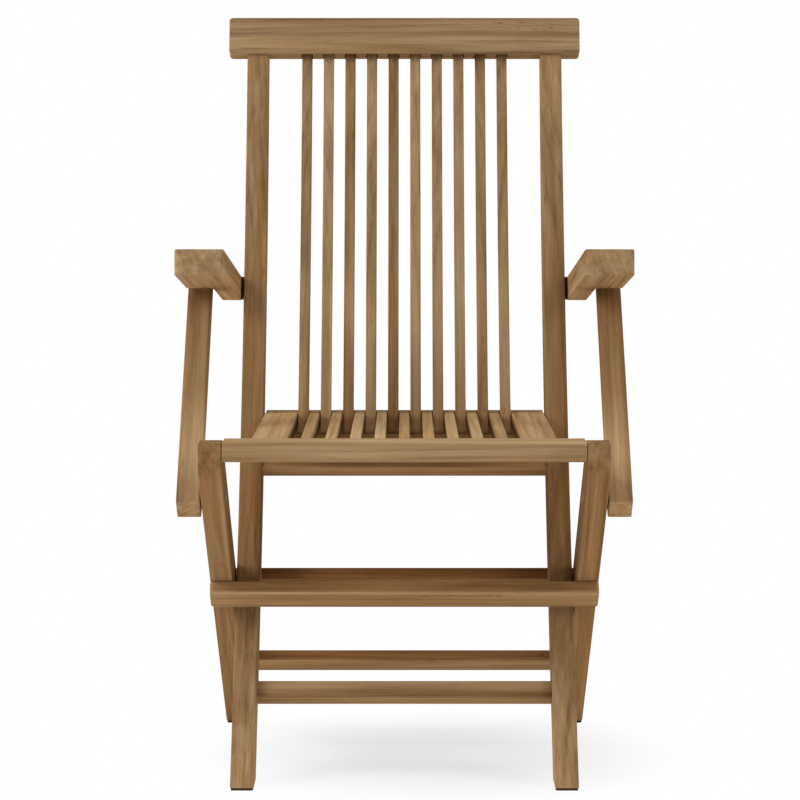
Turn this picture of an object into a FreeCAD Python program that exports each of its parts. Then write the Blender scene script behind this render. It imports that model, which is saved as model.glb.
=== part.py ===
import FreeCAD, Part
import math
import os

import Sketcher

# Folding armchair in teak, millimetres, +Z up, the chair faces -Y and X runs across it.
# The side view is drawn in (y, z) with y = 0 at the toe of the front foot. Every piece is then
# moved by the same shift, so that the origin lies on the floor under the middle of the chair.

doc = FreeCAD.newDocument("FoldingArmchair")
sheet = doc.addObject("Spreadsheet::Sheet", "Size")

SIZES = [
    # Back frame: two curved stiles that run from the crest rail down to the front feet
    ("stile_span", 430.0, "across the outer faces of the stiles"),
    ("stile_width", 29.5, "stile, measured across the chair"),
    ("stile_depth", 42.0, "stile, front to back, below the seat"),
    ("stile_top_depth", 21.5, "stile where it enters the crest rail"),
    ("stile_lean", 35.8, "degrees from upright in the straight lower leg"),
    ("stile_straight", 150.0, "height where the lower leg starts to curve"),
    ("stile_radius", 2600.0, "radius of the front face above that height"),
    ("stile_height", 917.0, "height of the stile's front edge at the crest rail"),
    ("crest_length", 480.0, "crest rail, end to end"),
    ("crest_height", 51.3, "crest rail, along the back"),
    ("crest_thickness", 26.5, "crest rail, front to back"),
    ("crest_proud", 5.0, "crest rail ahead of the stiles' front faces"),
    ("slat_count", 10.0, "back slats"),
    ("slat_pitch", 29.6, "centre to centre of slats, in back and seat alike"),
    ("back_slat_width", 14.0, "back slat, across"),
    ("back_slat_depth", 10.0, "back slat, front to back"),
    ("back_slat_inset", 8.0, "back slats behind the front of the stiles"),
    ("pocket_lip", 4.3, "wood of the crest rail ahead of the slats' pockets"),
    ("pocket_gap", 0.8, "beside a slat in its pocket"),
    ("low_rail_drop", 24.0, "lower rail's top below the seat top, on the stile's front face"),
    ("low_rail_height", 49.0, "lower rail, which holds the feet of the back slats"),
    ("low_rail_depth", 27.5, "lower rail, front to back"),
    ("low_rail_inset", 2.0, "lower rail behind the front of the stiles"),
    ("front_stretcher_size", 22.5, "square bar between the front feet"),
    ("front_stretcher_rise", 125.5, "height on the stile's front face of that bar's top"),
    # Leg frame: two straight legs outside the stiles, from the seat front to the rear feet
    ("side_gap", 2.0, "between stile and leg"),
    ("leg_width", 28.0, "leg, across"),
    ("leg_depth", 52.0, "leg, square to its length"),
    ("leg_front_height", 37.0, "upright front end of the leg, below the seat top"),
    ("leg_heel", 438.0, "front lower edge of the rear foot, behind the front toe"),
    ("seat_height", 440.0, "top of the seat"),
    ("seat_front", 100.0, "seat front ahead of the front toe"),
    ("bar_width", 39.5, "crossbars, along the leg"),
    ("bar_thickness", 17.0, "crossbars, square to the leg"),
    ("bar_overhang", 0.3, "crossbars beyond the legs' outer faces"),
    ("front_bar_rise", 368.8, "front crossbar, up the leg from the heel to its lower edge"),
    ("rear_bar_gap", 0.3, "between the rear crossbar and the stiles, which it stops on"),
    ("rear_stretcher_rise", 103.0, "height of the rear stretcher's middle"),
    ("rear_stretcher_width", 30.0, "rear stretcher, along the leg"),
    ("rear_stretcher_thickness", 16.0, "rear stretcher, square to the leg"),
    # Seat
    ("seat_pivot_back", 28.0, "seat pivot behind the seat front"),
    ("seat_pivot_drop", 12.0, "seat pivot below the seat top"),
    ("front_rail_depth", 60.0, "seat front rail, front to back"),
    ("front_rail_height", 23.0, "seat front rail, top to bottom"),
    ("front_rail_gap", 0.6, "between the rail's ends and the legs"),
    ("seat_slat_thickness", 18.0, "seat slat, top to bottom"),
    ("seat_slat_width", 13.3, "seat slat, across"),
    ("side_board_thickness", 20.0, "side board, top to bottom"),
    ("side_board_gap", 1.1, "between side board and the outermost back slat"),
    ("seat_side_gap", 1.5, "between side board and stile"),
    ("seat_slat_length", 378.0, "seat slat between its rails"),
    ("rear_rail_depth", 14.0, "seat rear rail, front to back"),
    ("rear_rail_height", 32.0, "seat rear rail, top to bottom"),
    # Arms and arm posts
    ("arm_gap", 4.0, "between stile and arm, filled by a spacer"),
    ("arm_thickness", 32.2, "armrest, top to bottom"),
    ("arm_width", 60.3, "armrest at the hand"),
    ("arm_neck_width", 26.5, "armrest beside the post and the stile"),
    ("arm_over_seat", 169.5, "arm pivot above the seat top, on the stile's front face"),
    ("arm_pivot_depth", 21.0, "arm pivot behind the stile's front face"),
    ("arm_reach", 392.0, "armrest from its pivot to its front end"),
    ("arm_rise", 7.2, "degrees that the armrest rises to the front"),
    ("arm_tail", 15.5, "armrest behind its pivot"),
    ("arm_tail_round", 15.0, "rounded rear end of the armrest"),
    ("arm_spacer_diameter", 31.0, "spacer between stile and armrest"),
    ("arm_step", 198.0, "wide part of the armrest starts this far ahead of its pivot"),
    ("post_width", 29.4, "arm post, across"),
    ("post_depth", 32.0, "arm post, front to back"),
    ("post_gap", 2.4, "between leg and post"),
    ("post_pivot_drop", 75.8, "post's lower pivot below the seat top"),
    ("post_reach", 161.0, "post's upper pivot ahead of the arm pivot, along the arm"),
    ("post_tail", 18.0, "post below its lower pivot"),
    ("post_top_round", 15.5, "rounded upper end of the post"),
    # Joinery, hardware and finish
    ("tenon_length", 16.0, "tenons of the rails and stretchers"),
    ("tenon_gap", 0.5, "between the end of a tenon and its mortise"),
    ("tenon_thickness", 8.0, "tenons of the thin pieces"),
    ("rail_tenon", 12.0, "thickness of the tenons of the thick pieces"),
    ("slat_tenon", 8.0, "length of the slats' tenons"),
    ("shoulder", 2.0, "shoulders beside the tenons"),
    ("pin_diameter", 8.0, "pivot bolts"),
    ("pin_clearance", 0.05, "around a pivot bolt where wood turns on it"),
    ("head_diameter", 15.0, "heads and nuts of the pivot bolts"),
    ("head_height", 3.5, "the same, sunk flush into the wood"),
    ("head_clearance", 0.3, "around a sunk head in the wood that turns"),
    ("washer_diameter", 20.0, "washers and spacers at the pivots"),
    ("washer_slack", 0.3, "left beside a washer so that the joint turns"),
    ("peg_diameter", 8.0, "hardwood pegs through the tenons"),
    ("peg_length", 30.0, "pegs through stiles and legs"),
    ("crest_peg_length", 22.0, "pegs through the crest rail"),
    ("screw_diameter", 5.0, "screws of the crossbars"),
    ("screw_cover", 6.0, "wood left over the point of a screw"),
    ("screw_spread", 7.0, "screws off the middle of a joint, both ways"),
    ("plug_diameter", 10.0, "wooden plugs over the screws"),
    ("plug_height", 6.0, "the same"),
    ("nut_diameter", 12.0, "barrel nuts of the seat pivots"),
    ("nut_height", 18.0, "the same"),
    ("seat_bolt_grip", 50.0, "seat pivot bolt inside the front rail"),
    ("edge_round", 1.8, "eased long edges"),
    ("fine_round", 1.3, "eased edges of the slats"),
    ("corner_round", 5.0, "rounded corners of crest rail, crossbars and armrests"),
    ("foot_chamfer", 1.2, "chamfer round the feet"),
    ("glide_height", 2.8, "glides under the feet"),
    ("glide_inset", 1.0, "glides inside the outline of the feet"),
    ("glide_round", 3.0, "upright corners of the glides"),
    ("knee_round", 30.0, "front of the leg where it turns upright"),
    ("leg_tip_round", 3.0, "upper corners of the leg"),
    ("step_round", 12.0, "hollow corner where the armrest narrows"),
]

for row, (alias, number, note) in enumerate(SIZES, start=1):
    sheet.set("A%d" % row, note)
    sheet.set("B%d" % row, "%s" % number)
    sheet.setAlias("B%d" % row, alias)
doc.recompute()


def value(expression):
    """Number that an expression over the sheet's cells gives."""
    result = sheet.evalExpression(expression)
    return float(getattr(result, "Value", result))


def in_sheet(expression):
    """The same expression with each cell named as the sheet's own."""
    words = []
    word = ""
    for letter in expression + " ":
        if letter.isalnum() or letter in "_.":
            word += letter
            continue
        words.append("Size." + word if word in S else word)
        words.append(letter)
        word = ""
    return "".join(words).strip()


S = {alias: value(alias) for alias, number, note in SIZES}


# Side view: the front face of the stile is a straight line up to a height and then an arc
LEAN = math.radians(S["stile_lean"])
ARC_Y = S["stile_straight"] * math.tan(LEAN) - S["stile_radius"] * math.cos(LEAN)
ARC_Z = S["stile_straight"] + S["stile_radius"] * math.sin(LEAN)
LEG = math.atan2(S["leg_heel"] + S["seat_front"], S["seat_height"] - S["leg_front_height"])
LEG_UP = (-math.sin(LEG), math.cos(LEG))
LEG_OUT = (math.cos(LEG), math.sin(LEG))
FULL_TURN = 2 * math.pi
SAME = 1e-3


def stile_lean_at(height):
    """Lean in radians of the stile's front face at a height on that face."""
    if height <= S["stile_straight"]:
        return LEAN
    return math.asin(math.sin(LEAN) - (height - S["stile_straight"]) / S["stile_radius"])


def stile_point(height, depth):
    """Point at a depth behind the stile's front face, square to the face at that height."""
    lean = stile_lean_at(height)
    if height <= S["stile_straight"]:
        face_y = height * math.tan(LEAN)
    else:
        face_y = ARC_Y + S["stile_radius"] * math.cos(lean)
    return face_y + depth * math.cos(lean), height - depth * math.sin(lean)


def moved(point, lean, up, back):
    """Point moved up along a lean and back square to it."""
    y = point[0] + up * math.sin(lean) + back * math.cos(lean)
    z = point[1] + up * math.cos(lean) - back * math.sin(lean)
    return y, z


def leg_point(rise, depth):
    """Point up the leg's lower face from the heel, and at a depth into the leg."""
    y = S["leg_heel"] + rise * LEG_UP[0] + depth * LEG_OUT[0]
    z = rise * LEG_UP[1] + depth * LEG_OUT[1]
    return y, z


def leg_rise_at(z, depth):
    """How far up the leg a height lies, at a depth into the leg."""
    return (z - depth * LEG_OUT[1]) / LEG_UP[1]


def rise_to_arc(depth, centre, radius):
    """How far up the leg, at a depth into it, an arc of the stile is met from behind."""
    start_y, start_z = leg_point(0, depth)
    off_y = start_y - centre[0]
    off_z = start_z - centre[1]
    along = off_y * LEG_UP[0] + off_z * LEG_UP[1]
    gap = off_y ** 2 + off_z ** 2 - radius ** 2
    return -along - math.sqrt(along ** 2 - gap)


# Positions across the chair, as distances from its middle
STILE_OUT = S["stile_span"] / 2
STILE_IN = STILE_OUT - S["stile_width"]
LEG_IN = STILE_OUT + S["side_gap"]
LEG_OUTER = LEG_IN + S["leg_width"]
ARM_IN = STILE_OUT + S["arm_gap"]
NECK_OUT = ARM_IN + S["arm_neck_width"]
ARM_OUT = ARM_IN + S["arm_width"]
POST_IN = LEG_OUTER + S["post_gap"]
POST_OUT = POST_IN + S["post_width"]
SEAT_IN = LEG_IN - S["front_rail_gap"]
BOARD_OUT = STILE_IN - S["seat_side_gap"]
BOARD_IN = ((S["slat_count"] - 1) * S["slat_pitch"] + S["back_slat_width"]) / 2
BOARD_IN = BOARD_IN + S["side_board_gap"]
PIN = S["pin_diameter"] / 2

# Levels that follow the seat top
ARM_LEVEL = S["seat_height"] + S["arm_over_seat"]
LOW_LEVEL = S["seat_height"] - S["low_rail_drop"]
POST_LEVEL = S["seat_height"] - S["post_pivot_drop"]

# Pivots and main points of the side view
LEG_MIDDLE = S["leg_depth"] / 2
SCISSOR = leg_point(rise_to_arc(LEG_MIDDLE, (ARC_Y, ARC_Z), S["stile_radius"]
                                + S["stile_depth"] / 2), LEG_MIDDLE)
SEAT_FRONT = -S["seat_front"]
SEAT_PIVOT = (SEAT_FRONT + S["seat_pivot_back"], S["seat_height"] - S["seat_pivot_drop"])
ARM_PIVOT = stile_point(ARM_LEVEL, S["arm_pivot_depth"])
ARM_TILT = math.radians(S["arm_rise"])
POST_LOW = leg_point(leg_rise_at(POST_LEVEL, LEG_MIDDLE), LEG_MIDDLE)
POST_TOP = (ARM_PIVOT[0] - S["post_reach"] * math.cos(ARM_TILT),
            ARM_PIVOT[1] + S["post_reach"] * math.sin(ARM_TILT))
RAIL_BACK = SEAT_FRONT + S["front_rail_depth"]
REAR_RAIL_FRONT = RAIL_BACK + S["seat_slat_length"]
TOP_LEAN = stile_lean_at(S["stile_height"])
LOW_LEAN = stile_lean_at(LOW_LEVEL)
CREST_FOOT = stile_point(S["stile_height"], 0)
SLAT_MIDDLE = S["back_slat_inset"] + S["back_slat_depth"] / 2
LOW_TOP = stile_point(LOW_LEVEL, S["low_rail_inset"])
LOW_MIDDLE = moved(LOW_TOP, LOW_LEAN, -S["low_rail_height"] / 2, S["low_rail_depth"] / 2)
BAR = S["front_stretcher_size"]
STRETCH_TOP = stile_point(S["front_stretcher_rise"], (S["stile_depth"] - BAR) / 2)
STRETCH_MIDDLE = moved(STRETCH_TOP, LEAN, -BAR / 2, BAR / 2)
REAR_RISE = leg_rise_at(S["rear_stretcher_rise"], LEG_MIDDLE)
REAR_MIDDLE = leg_point(REAR_RISE, LEG_MIDDLE)
CREST_REAR = S["crest_thickness"] - S["crest_proud"]
SLAT_REAR = S["back_slat_inset"] + S["back_slat_depth"]

# The chair's length runs from the seat front to the back of the crest rail
CREST_BACK = moved(CREST_FOOT, TOP_LEAN, S["crest_height"], CREST_REAR)[0]
SHIFT = FreeCAD.Vector(0, -(SEAT_FRONT + CREST_BACK) / 2, 0)

pieces = []


def side_place(point, x, angle=0.0):
    """Offset from the side plane: a point of the side view, x across, angle in degrees."""
    return FreeCAD.Placement(FreeCAD.Vector(point[0], point[1], x),
                             FreeCAD.Rotation(FreeCAD.Vector(0, 0, 1), angle))


def new_body(name):
    """Empty body, moved as the whole chair is."""
    body = doc.addObject("PartDesign::Body", name)
    body.Label = name
    body.Placement = FreeCAD.Placement(SHIFT, FreeCAD.Rotation())
    pieces.append(body)
    return body


def origin_part(body, role):
    return [item for item in body.Origin.OriginFeatures if item.Role == role][0]


def attach(feature, body, role, offset):
    feature.AttachmentSupport = [(origin_part(body, role), "")]
    feature.MapMode = "FlatFace"
    feature.AttachmentOffset = offset


def new_sketch(body, name, x, role="YZ_Plane", place=None):
    """Sketch in the side view at a distance across the chair, or in a place of its own."""
    sketch = body.newObject("Sketcher::SketchObject", body.Label + "_" + name)
    attach(sketch, body, role, place or side_place((0, 0), x))
    return sketch


def rectangle(sketch, left, low, width, height):
    """Rectangle whose corner and sides are expressions over the sheet."""
    x0, y0 = value(left), value(low)
    x1, y1 = x0 + value(width), y0 + value(height)
    corners = [(x0, y0), (x1, y0), (x1, y1), (x0, y1)]
    for index in range(4):
        start = FreeCAD.Vector(*corners[index], 0)
        end = FreeCAD.Vector(*corners[(index + 1) % 4], 0)
        sketch.addGeometry(Part.LineSegment(start, end), False)
    for index in range(4):
        sketch.addConstraint(Sketcher.Constraint("Coincident", index, 2, (index + 1) % 4, 1))
    sketch.addConstraint(Sketcher.Constraint("Horizontal", 0))
    sketch.addConstraint(Sketcher.Constraint("Horizontal", 2))
    sketch.addConstraint(Sketcher.Constraint("Vertical", 1))
    sketch.addConstraint(Sketcher.Constraint("Vertical", 3))
    wanted = [("DistanceX", (0, 1, 0, 2), width), ("DistanceY", (1, 1, 1, 2), height),
              ("DistanceX", (-1, 1, 0, 1), left), ("DistanceY", (-1, 1, 0, 1), low)]
    for kind, ends, expression in wanted:
        index = sketch.addConstraint(Sketcher.Constraint(kind, *ends, value(expression)))
        sketch.setExpression("Constraints[%d]" % index, in_sheet(expression))


def add_line(sketch, start, end):
    segment = Part.LineSegment(FreeCAD.Vector(*start, 0), FreeCAD.Vector(*end, 0))
    return sketch.addGeometry(segment, False), 1, 2


def add_arc(sketch, centre, start, end, radius_name=None):
    """Arc of less than half a turn; gives its number and the ends where the path runs."""
    middle = FreeCAD.Vector(*centre, 0)
    first = math.atan2(start[1] - centre[1], start[0] - centre[0])
    last = math.atan2(end[1] - centre[1], end[0] - centre[0])
    forward = (last - first) % FULL_TURN < math.pi
    if not forward:
        first, last = last, first
    if last < first:
        last += FULL_TURN
    radius = math.hypot(start[0] - centre[0], start[1] - centre[1])
    circle = Part.Circle(middle, FreeCAD.Vector(0, 0, 1), radius)
    number = sketch.addGeometry(Part.ArcOfCircle(circle, first, last), False)
    if radius_name:
        fixed = sketch.addConstraint(Sketcher.Constraint("Radius", number, radius))
        sketch.setExpression("Constraints[%d]" % fixed, in_sheet(radius_name))
    return (number, 1, 2) if forward else (number, 2, 1)


def close_path(sketch, links):
    for index, (number, first, last) in enumerate(links):
        following, start, end = links[(index + 1) % len(links)]
        sketch.addConstraint(Sketcher.Constraint("Coincident", number, last, following, start))


def outline(sketch, corners, rounds=None):
    """Closed outline through corners, rounded by the named radius where rounds lists one."""
    ends = []
    for index, corner in enumerate(corners):
        radius_name = (rounds or {}).get(index)
        if not radius_name:
            ends.append((corner, corner, None, None))
            continue
        here = FreeCAD.Vector(*corner, 0)
        before = FreeCAD.Vector(*corners[index - 1], 0) - here
        after = FreeCAD.Vector(*corners[(index + 1) % len(corners)], 0) - here
        half = before.getAngle(after) / 2
        before.normalize()
        after.normalize()
        cut = S[radius_name] / math.tan(half)
        enter = here + before * cut
        leave = here + after * cut
        centre = here + (before + after).normalize() * (S[radius_name] / math.sin(half))
        ends.append(((enter.x, enter.y), (leave.x, leave.y), (centre.x, centre.y), radius_name))
    links = []
    for index, (enter, leave, centre, radius_name) in enumerate(ends):
        if centre:
            links.append(add_arc(sketch, centre, enter, leave, radius_name))
        links.append(add_line(sketch, leave, ends[(index + 1) % len(ends)][0]))
    close_path(sketch, links)


def leaning_block(sketch, corner, lean, height, depth):
    """Section whose upper front corner is given, running down along the lean."""
    outline(sketch, [corner, moved(corner, lean, 0, depth), moved(corner, lean, -height, depth),
                     moved(corner, lean, -height, 0)])


def pad(body, sketch, length):
    """Pad to both sides of the sketch."""
    feature = body.newObject("PartDesign::Pad", sketch.Name + "_pad")
    feature.Profile = sketch
    feature.Midplane = True
    feature.setExpression("Length", in_sheet(length))
    sketch.Visibility = False
    doc.recompute()
    return feature


def ease(body, size, wanted, kind="Fillet"):
    """Round or chamfer, by a named size, the edges of the body so far that wanted picks."""
    base = body.Tip
    names = ["Edge%d" % (number + 1) for number, edge in enumerate(base.Shape.Edges)
             if wanted(edge)]
    feature = body.newObject("PartDesign::" + kind, body.Label + "_" + size)
    feature.Base = (base, names)
    feature.setExpression("Radius" if kind == "Fillet" else "Size", in_sheet(size))
    doc.recompute()
    return feature


def runs_across(edge):
    """True for an edge that runs straight across the chair."""
    span = edge.BoundBox
    return span.YLength < SAME and span.ZLength < SAME


def in_side_face(edge):
    """True for an edge that lies in a side face."""
    return edge.BoundBox.XLength < SAME


def at_foot(edge):
    """True for an edge round the underside of a foot, which stands on a glide."""
    return edge.BoundBox.ZMax < S["glide_height"] + SAME


def long_side_edge(length):
    """Picks the edges of the side faces that are longer than a length."""
    return lambda edge: in_side_face(edge) and edge.Length > length


def primitive(body, kind, name, place, role="YZ_Plane", **sizes):
    """Additive or subtractive primitive, which must change the body's volume its own way."""
    doc.recompute()
    before = body.Shape.Volume
    feature = body.newObject("PartDesign::" + kind, body.Label + "_" + name)
    for size_name, expression in sizes.items():
        feature.setExpression(size_name, in_sheet(expression))
    attach(feature, body, role, place)
    doc.recompute()
    grew = body.Shape.Volume - before
    if kind.startswith("Subtractive") == (grew >= 0):
        raise RuntimeError("%s changed nothing on %s" % (name, body.Label))
    return feature


def bore(body, name, point, x_from, x_to, radius):
    """Round hole across the chair between two x values; the radius is an expression."""
    return primitive(body, "SubtractiveCylinder", name, side_place(point, min(x_from, x_to)),
                     Radius=radius, Height="%.6f" % abs(x_to - x_from))


def slanted_bore(body, name, point, x, angle, radius, length):
    """Round hole in the side view, from a point of the surface inwards along an angle."""
    place = side_place(point, x, angle)
    place = place * FreeCAD.Placement(FreeCAD.Vector(), FreeCAD.Rotation(0, 90, 0))
    return primitive(body, "SubtractiveCylinder", name, place, Radius=radius, Height=length)


def block(body, kind, name, point, x_from, x_to, width, height, angle=0.0):
    """Box across the chair, centred on a point of the side view, turned by angle degrees."""
    turn = math.radians(angle)
    half_width, half_height = value(width) / 2, value(height) / 2
    corner = (point[0] - half_width * math.cos(turn) + half_height * math.sin(turn),
              point[1] - half_width * math.sin(turn) - half_height * math.cos(turn))
    return primitive(body, kind + "Box", name, side_place(corner, min(x_from, x_to), angle),
                     Length=width, Width=height, Height="%.6f" % abs(x_to - x_from))


def row_of(body, feature, count):
    """Repeats a feature across the chair at the pitch of the slats."""
    pattern = body.newObject("PartDesign::LinearPattern", feature.Name + "_row")
    pattern.Originals = [feature]
    pattern.Direction = (origin_part(body, "X_Axis"), [""])
    pattern.setExpression("Length", in_sheet("(%s - 1) * slat_pitch" % count))
    pattern.setExpression("Occurrences", in_sheet(count))
    body.Tip = pattern
    before = feature.Shape.Volume
    doc.recompute()
    if body.Shape.Volume >= before:
        raise RuntimeError("the row on %s changed nothing" % body.Label)


def solids(name, shapes):
    """Node of loose like pieces, such as fasteners, as separate solids."""
    feature = doc.addObject("Part::Feature", name)
    feature.Label = name
    feature.Shape = Part.makeCompound(shapes)
    feature.Placement = FreeCAD.Placement(SHIFT, FreeCAD.Rotation())
    pieces.append(feature)


def rod(point, x_from, x_to, radius):
    """Round rod across the chair, from one x to another."""
    direction = FreeCAD.Vector(1 if x_to > x_from else -1, 0, 0)
    return Part.makeCylinder(radius, abs(x_to - x_from),
                             FreeCAD.Vector(x_from, *point), direction)


def ring(point, x_from, x_to, outer):
    """Washer, spacer or nut on a pivot bolt."""
    return rod(point, x_from, x_to, outer).cut(rod(point, x_from, x_to, PIN))


def slanted_rod(point, x, angle, radius, length):
    """Round rod in the side view, from a point inwards along an angle in degrees."""
    turn = math.radians(angle)
    direction = FreeCAD.Vector(0, math.cos(turn), math.sin(turn))
    return Part.makeCylinder(radius, length, FreeCAD.Vector(x, *point), direction)


def bolt(point, side, outer_x, inner_x):
    """Pivot bolt with its round head, sunk flush, at the outer end."""
    head = rod(point, side * outer_x, side * (outer_x - S["head_height"]),
               S["head_diameter"] / 2)
    return head.fuse(rod(point, side * outer_x, side * inner_x, PIN)).removeSplitter()


def nut(point, side, face_x):
    """Nut sunk into the inner face of a piece, which lies at face_x."""
    return ring(point, side * face_x, side * (face_x + S["head_height"]),
                S["head_diameter"] / 2)


def head_seat(body, name, point, side, face_x, turning):
    """Seat for a bolt head in an outer face, roomier where the wood turns about the bolt."""
    room = S["washer_slack"] if turning else 0.0
    radius = "head_diameter / 2 + head_clearance" if turning else "head_diameter / 2"
    bore(body, name, point, side * face_x, side * (face_x - S["head_height"] - room), radius)


def pin_bore(body, name, point, side, x_in, x_out, turning):
    """Bore for a pivot bolt, with running clearance where the wood turns about it."""
    radius = "pin_diameter / 2 + pin_clearance" if turning else "pin_diameter / 2"
    bore(body, name, point, side * x_in, side * x_out, radius)


def nut_seat(body, name, point, side, face_x):
    bore(body, name, point, side * face_x, side * (face_x + S["head_height"]),
         "head_diameter / 2")


# Rear face of the stile: it leaves the straight leg without a corner and tapers to the top
def stile_rear():
    """Centre and radius of the rear arc of the stile."""
    knee = stile_point(S["stile_straight"], S["stile_depth"])
    top = stile_point(S["stile_height"], S["stile_top_depth"])
    chord_y, chord_z = top[0] - knee[0], top[1] - knee[1]
    across = chord_y * math.cos(LEAN) - chord_z * math.sin(LEAN)
    radius = -(chord_y ** 2 + chord_z ** 2) / (2 * across)
    return (knee[0] - radius * math.cos(LEAN), knee[1] + radius * math.sin(LEAN)), radius


REAR_CENTRE, REAR_RADIUS = stile_rear()
REAR_BAR_TOP = rise_to_arc(S["leg_depth"], REAR_CENTRE, REAR_RADIUS + S["rear_bar_gap"])
REAR_BAR_RISE = REAR_BAR_TOP - S["bar_width"]


def to_stile_rear(point, lean):
    """The point moved straight back, square to a lean, onto the stile's rear face."""
    off_y, off_z = point[0] - REAR_CENTRE[0], point[1] - REAR_CENTRE[1]
    along = off_y * math.cos(lean) - off_z * math.sin(lean)
    gap = off_y ** 2 + off_z ** 2 - REAR_RADIUS ** 2
    return moved(point, lean, 0, -along + math.sqrt(along ** 2 - gap))


def peg_data(mouth, lean, middle, tenon, usual):
    """Mouth of a peg's hole, angle inwards in degrees and length, which passes the tenon."""
    length = max(S[usual], math.dist(mouth, middle) + S[tenon] / 2)
    return mouth, 180 - math.degrees(lean), length


# Pegs, driven from behind through the middle of each tenon
LOW_PEG = peg_data(to_stile_rear(LOW_MIDDLE, LOW_LEAN), LOW_LEAN, LOW_MIDDLE, "rail_tenon",
                   "peg_length")
STRETCH_PEG = peg_data(moved(STRETCH_MIDDLE, LEAN, 0, S["stile_depth"] / 2), LEAN,
                       STRETCH_MIDDLE, "rail_tenon", "peg_length")
CREST_PEG = peg_data(moved(CREST_FOOT, TOP_LEAN, S["tenon_length"] / 2, CREST_REAR), TOP_LEAN,
                     moved(CREST_FOOT, TOP_LEAN, S["tenon_length"] / 2,
                           S["stile_top_depth"] / 2), "rail_tenon", "crest_peg_length")
REAR_PEG = peg_data(leg_point(REAR_RISE, S["leg_depth"]), -LEG, REAR_MIDDLE,
                    "tenon_thickness", "peg_length")
STILE_PEG_X = STILE_IN + S["tenon_length"] / 2
CREST_PEG_X = (STILE_IN + STILE_OUT) / 2
LEG_PEG_X = LEG_IN + S["tenon_length"] / 2


def peg_hole(body, name, peg, x):
    point, angle, length = peg
    slanted_bore(body, name, point, x, angle, "peg_diameter / 2", "%.6f" % length)


def peg_rod(peg, x):
    point, angle, length = peg
    return slanted_rod(point, x, angle, S["peg_diameter"] / 2, length)


FOOT_LENGTH = S["stile_depth"] / math.cos(LEAN)
REAR_FOOT_LENGTH = S["leg_depth"] / math.cos(LEG)
REAR_TOE = leg_point(leg_rise_at(S["glide_height"], 0), 0)


# Stiles: curved boards tapered to the crest rail, with a tenon on top
def stile(side):
    body = new_body("stile_right" if side > 0 else "stile_left")
    sketch = new_sketch(body, "side", side * (STILE_OUT + STILE_IN) / 2)
    knee = stile_point(S["stile_straight"], 0)
    top_rear = stile_point(S["stile_height"], S["stile_top_depth"])
    knee_rear = stile_point(S["stile_straight"], S["stile_depth"])
    toe = stile_point(S["glide_height"], 0)
    heel = (toe[0] + FOOT_LENGTH, toe[1])
    links = [add_line(sketch, toe, knee),
             add_arc(sketch, (ARC_Y, ARC_Z), knee, CREST_FOOT, "stile_radius"),
             add_line(sketch, CREST_FOOT, top_rear),
             add_arc(sketch, REAR_CENTRE, top_rear, knee_rear),
             add_line(sketch, knee_rear, heel),
             add_line(sketch, heel, toe)]
    close_path(sketch, links)
    pad(body, sketch, "stile_width")
    ease(body, "foot_chamfer", at_foot, "Chamfer")
    ease(body, "edge_round", long_side_edge(S["stile_depth"] * 2))
    tenon = moved(CREST_FOOT, TOP_LEAN, S["tenon_length"] / 2, S["stile_top_depth"] / 2)
    block(body, "Additive", "tenon", tenon, side * CREST_TENON[0], side * CREST_TENON[1],
          "rail_tenon", "tenon_length", -math.degrees(TOP_LEAN))
    pin_bore(body, "scissor_bore", SCISSOR, side, STILE_IN, STILE_OUT, False)
    nut_seat(body, "scissor_nut", SCISSOR, side, STILE_IN)
    pin_bore(body, "arm_bore", ARM_PIVOT, side, STILE_IN, STILE_OUT, False)
    nut_seat(body, "arm_nut", ARM_PIVOT, side, STILE_IN)
    mortise_end = side * (STILE_IN + S["tenon_length"])
    block(body, "Subtractive", "low_mortise", LOW_MIDDLE, side * STILE_IN, mortise_end,
          "rail_tenon", "low_rail_height - 2 * tenon_thickness", -math.degrees(LOW_LEAN))
    block(body, "Subtractive", "stretcher_mortise", STRETCH_MIDDLE, side * STILE_IN,
          mortise_end, "rail_tenon", "rail_tenon", -math.degrees(LEAN))
    peg_hole(body, "low_peg", LOW_PEG, side * STILE_PEG_X)
    peg_hole(body, "stretcher_peg", STRETCH_PEG, side * STILE_PEG_X)
    peg_hole(body, "crest_peg", CREST_PEG, side * CREST_PEG_X)


CREST_TENON = (STILE_IN + S["stile_width"] / 4, STILE_OUT - S["stile_width"] / 4)
stile(-1)
stile(1)


# Crest rail over the stiles and slats
crest = new_body("crest_rail")
crest_sketch = new_sketch(crest, "section", 0)
crest_top = moved(CREST_FOOT, TOP_LEAN, S["crest_height"], -S["crest_proud"])
leaning_block(crest_sketch, crest_top, TOP_LEAN, S["crest_height"], S["crest_thickness"])
pad(crest, crest_sketch, "crest_length")
ease(crest, "corner_round", lambda edge: in_side_face(edge)
     and abs(edge.Length - S["crest_thickness"]) < SAME)
ease(crest, "edge_round", lambda edge: not (edge.BoundBox.XLength < S["corner_round"] + SAME
                                            and abs(edge.Length - S["crest_thickness"]) < SAME))
for side in (-1, 1):
    mortise = moved(CREST_FOOT, TOP_LEAN, (S["tenon_length"] + S["tenon_gap"]) / 2,
                    S["stile_top_depth"] / 2)
    block(crest, "Subtractive", "stile_mortise", mortise, side * CREST_TENON[0],
          side * CREST_TENON[1], "rail_tenon", "tenon_length + tenon_gap",
          -math.degrees(TOP_LEAN))
    peg_hole(crest, "peg", CREST_PEG, side * CREST_PEG_X)


def first_slat_x(count):
    return -(S[count] - 1) * S["slat_pitch"] / 2


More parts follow.
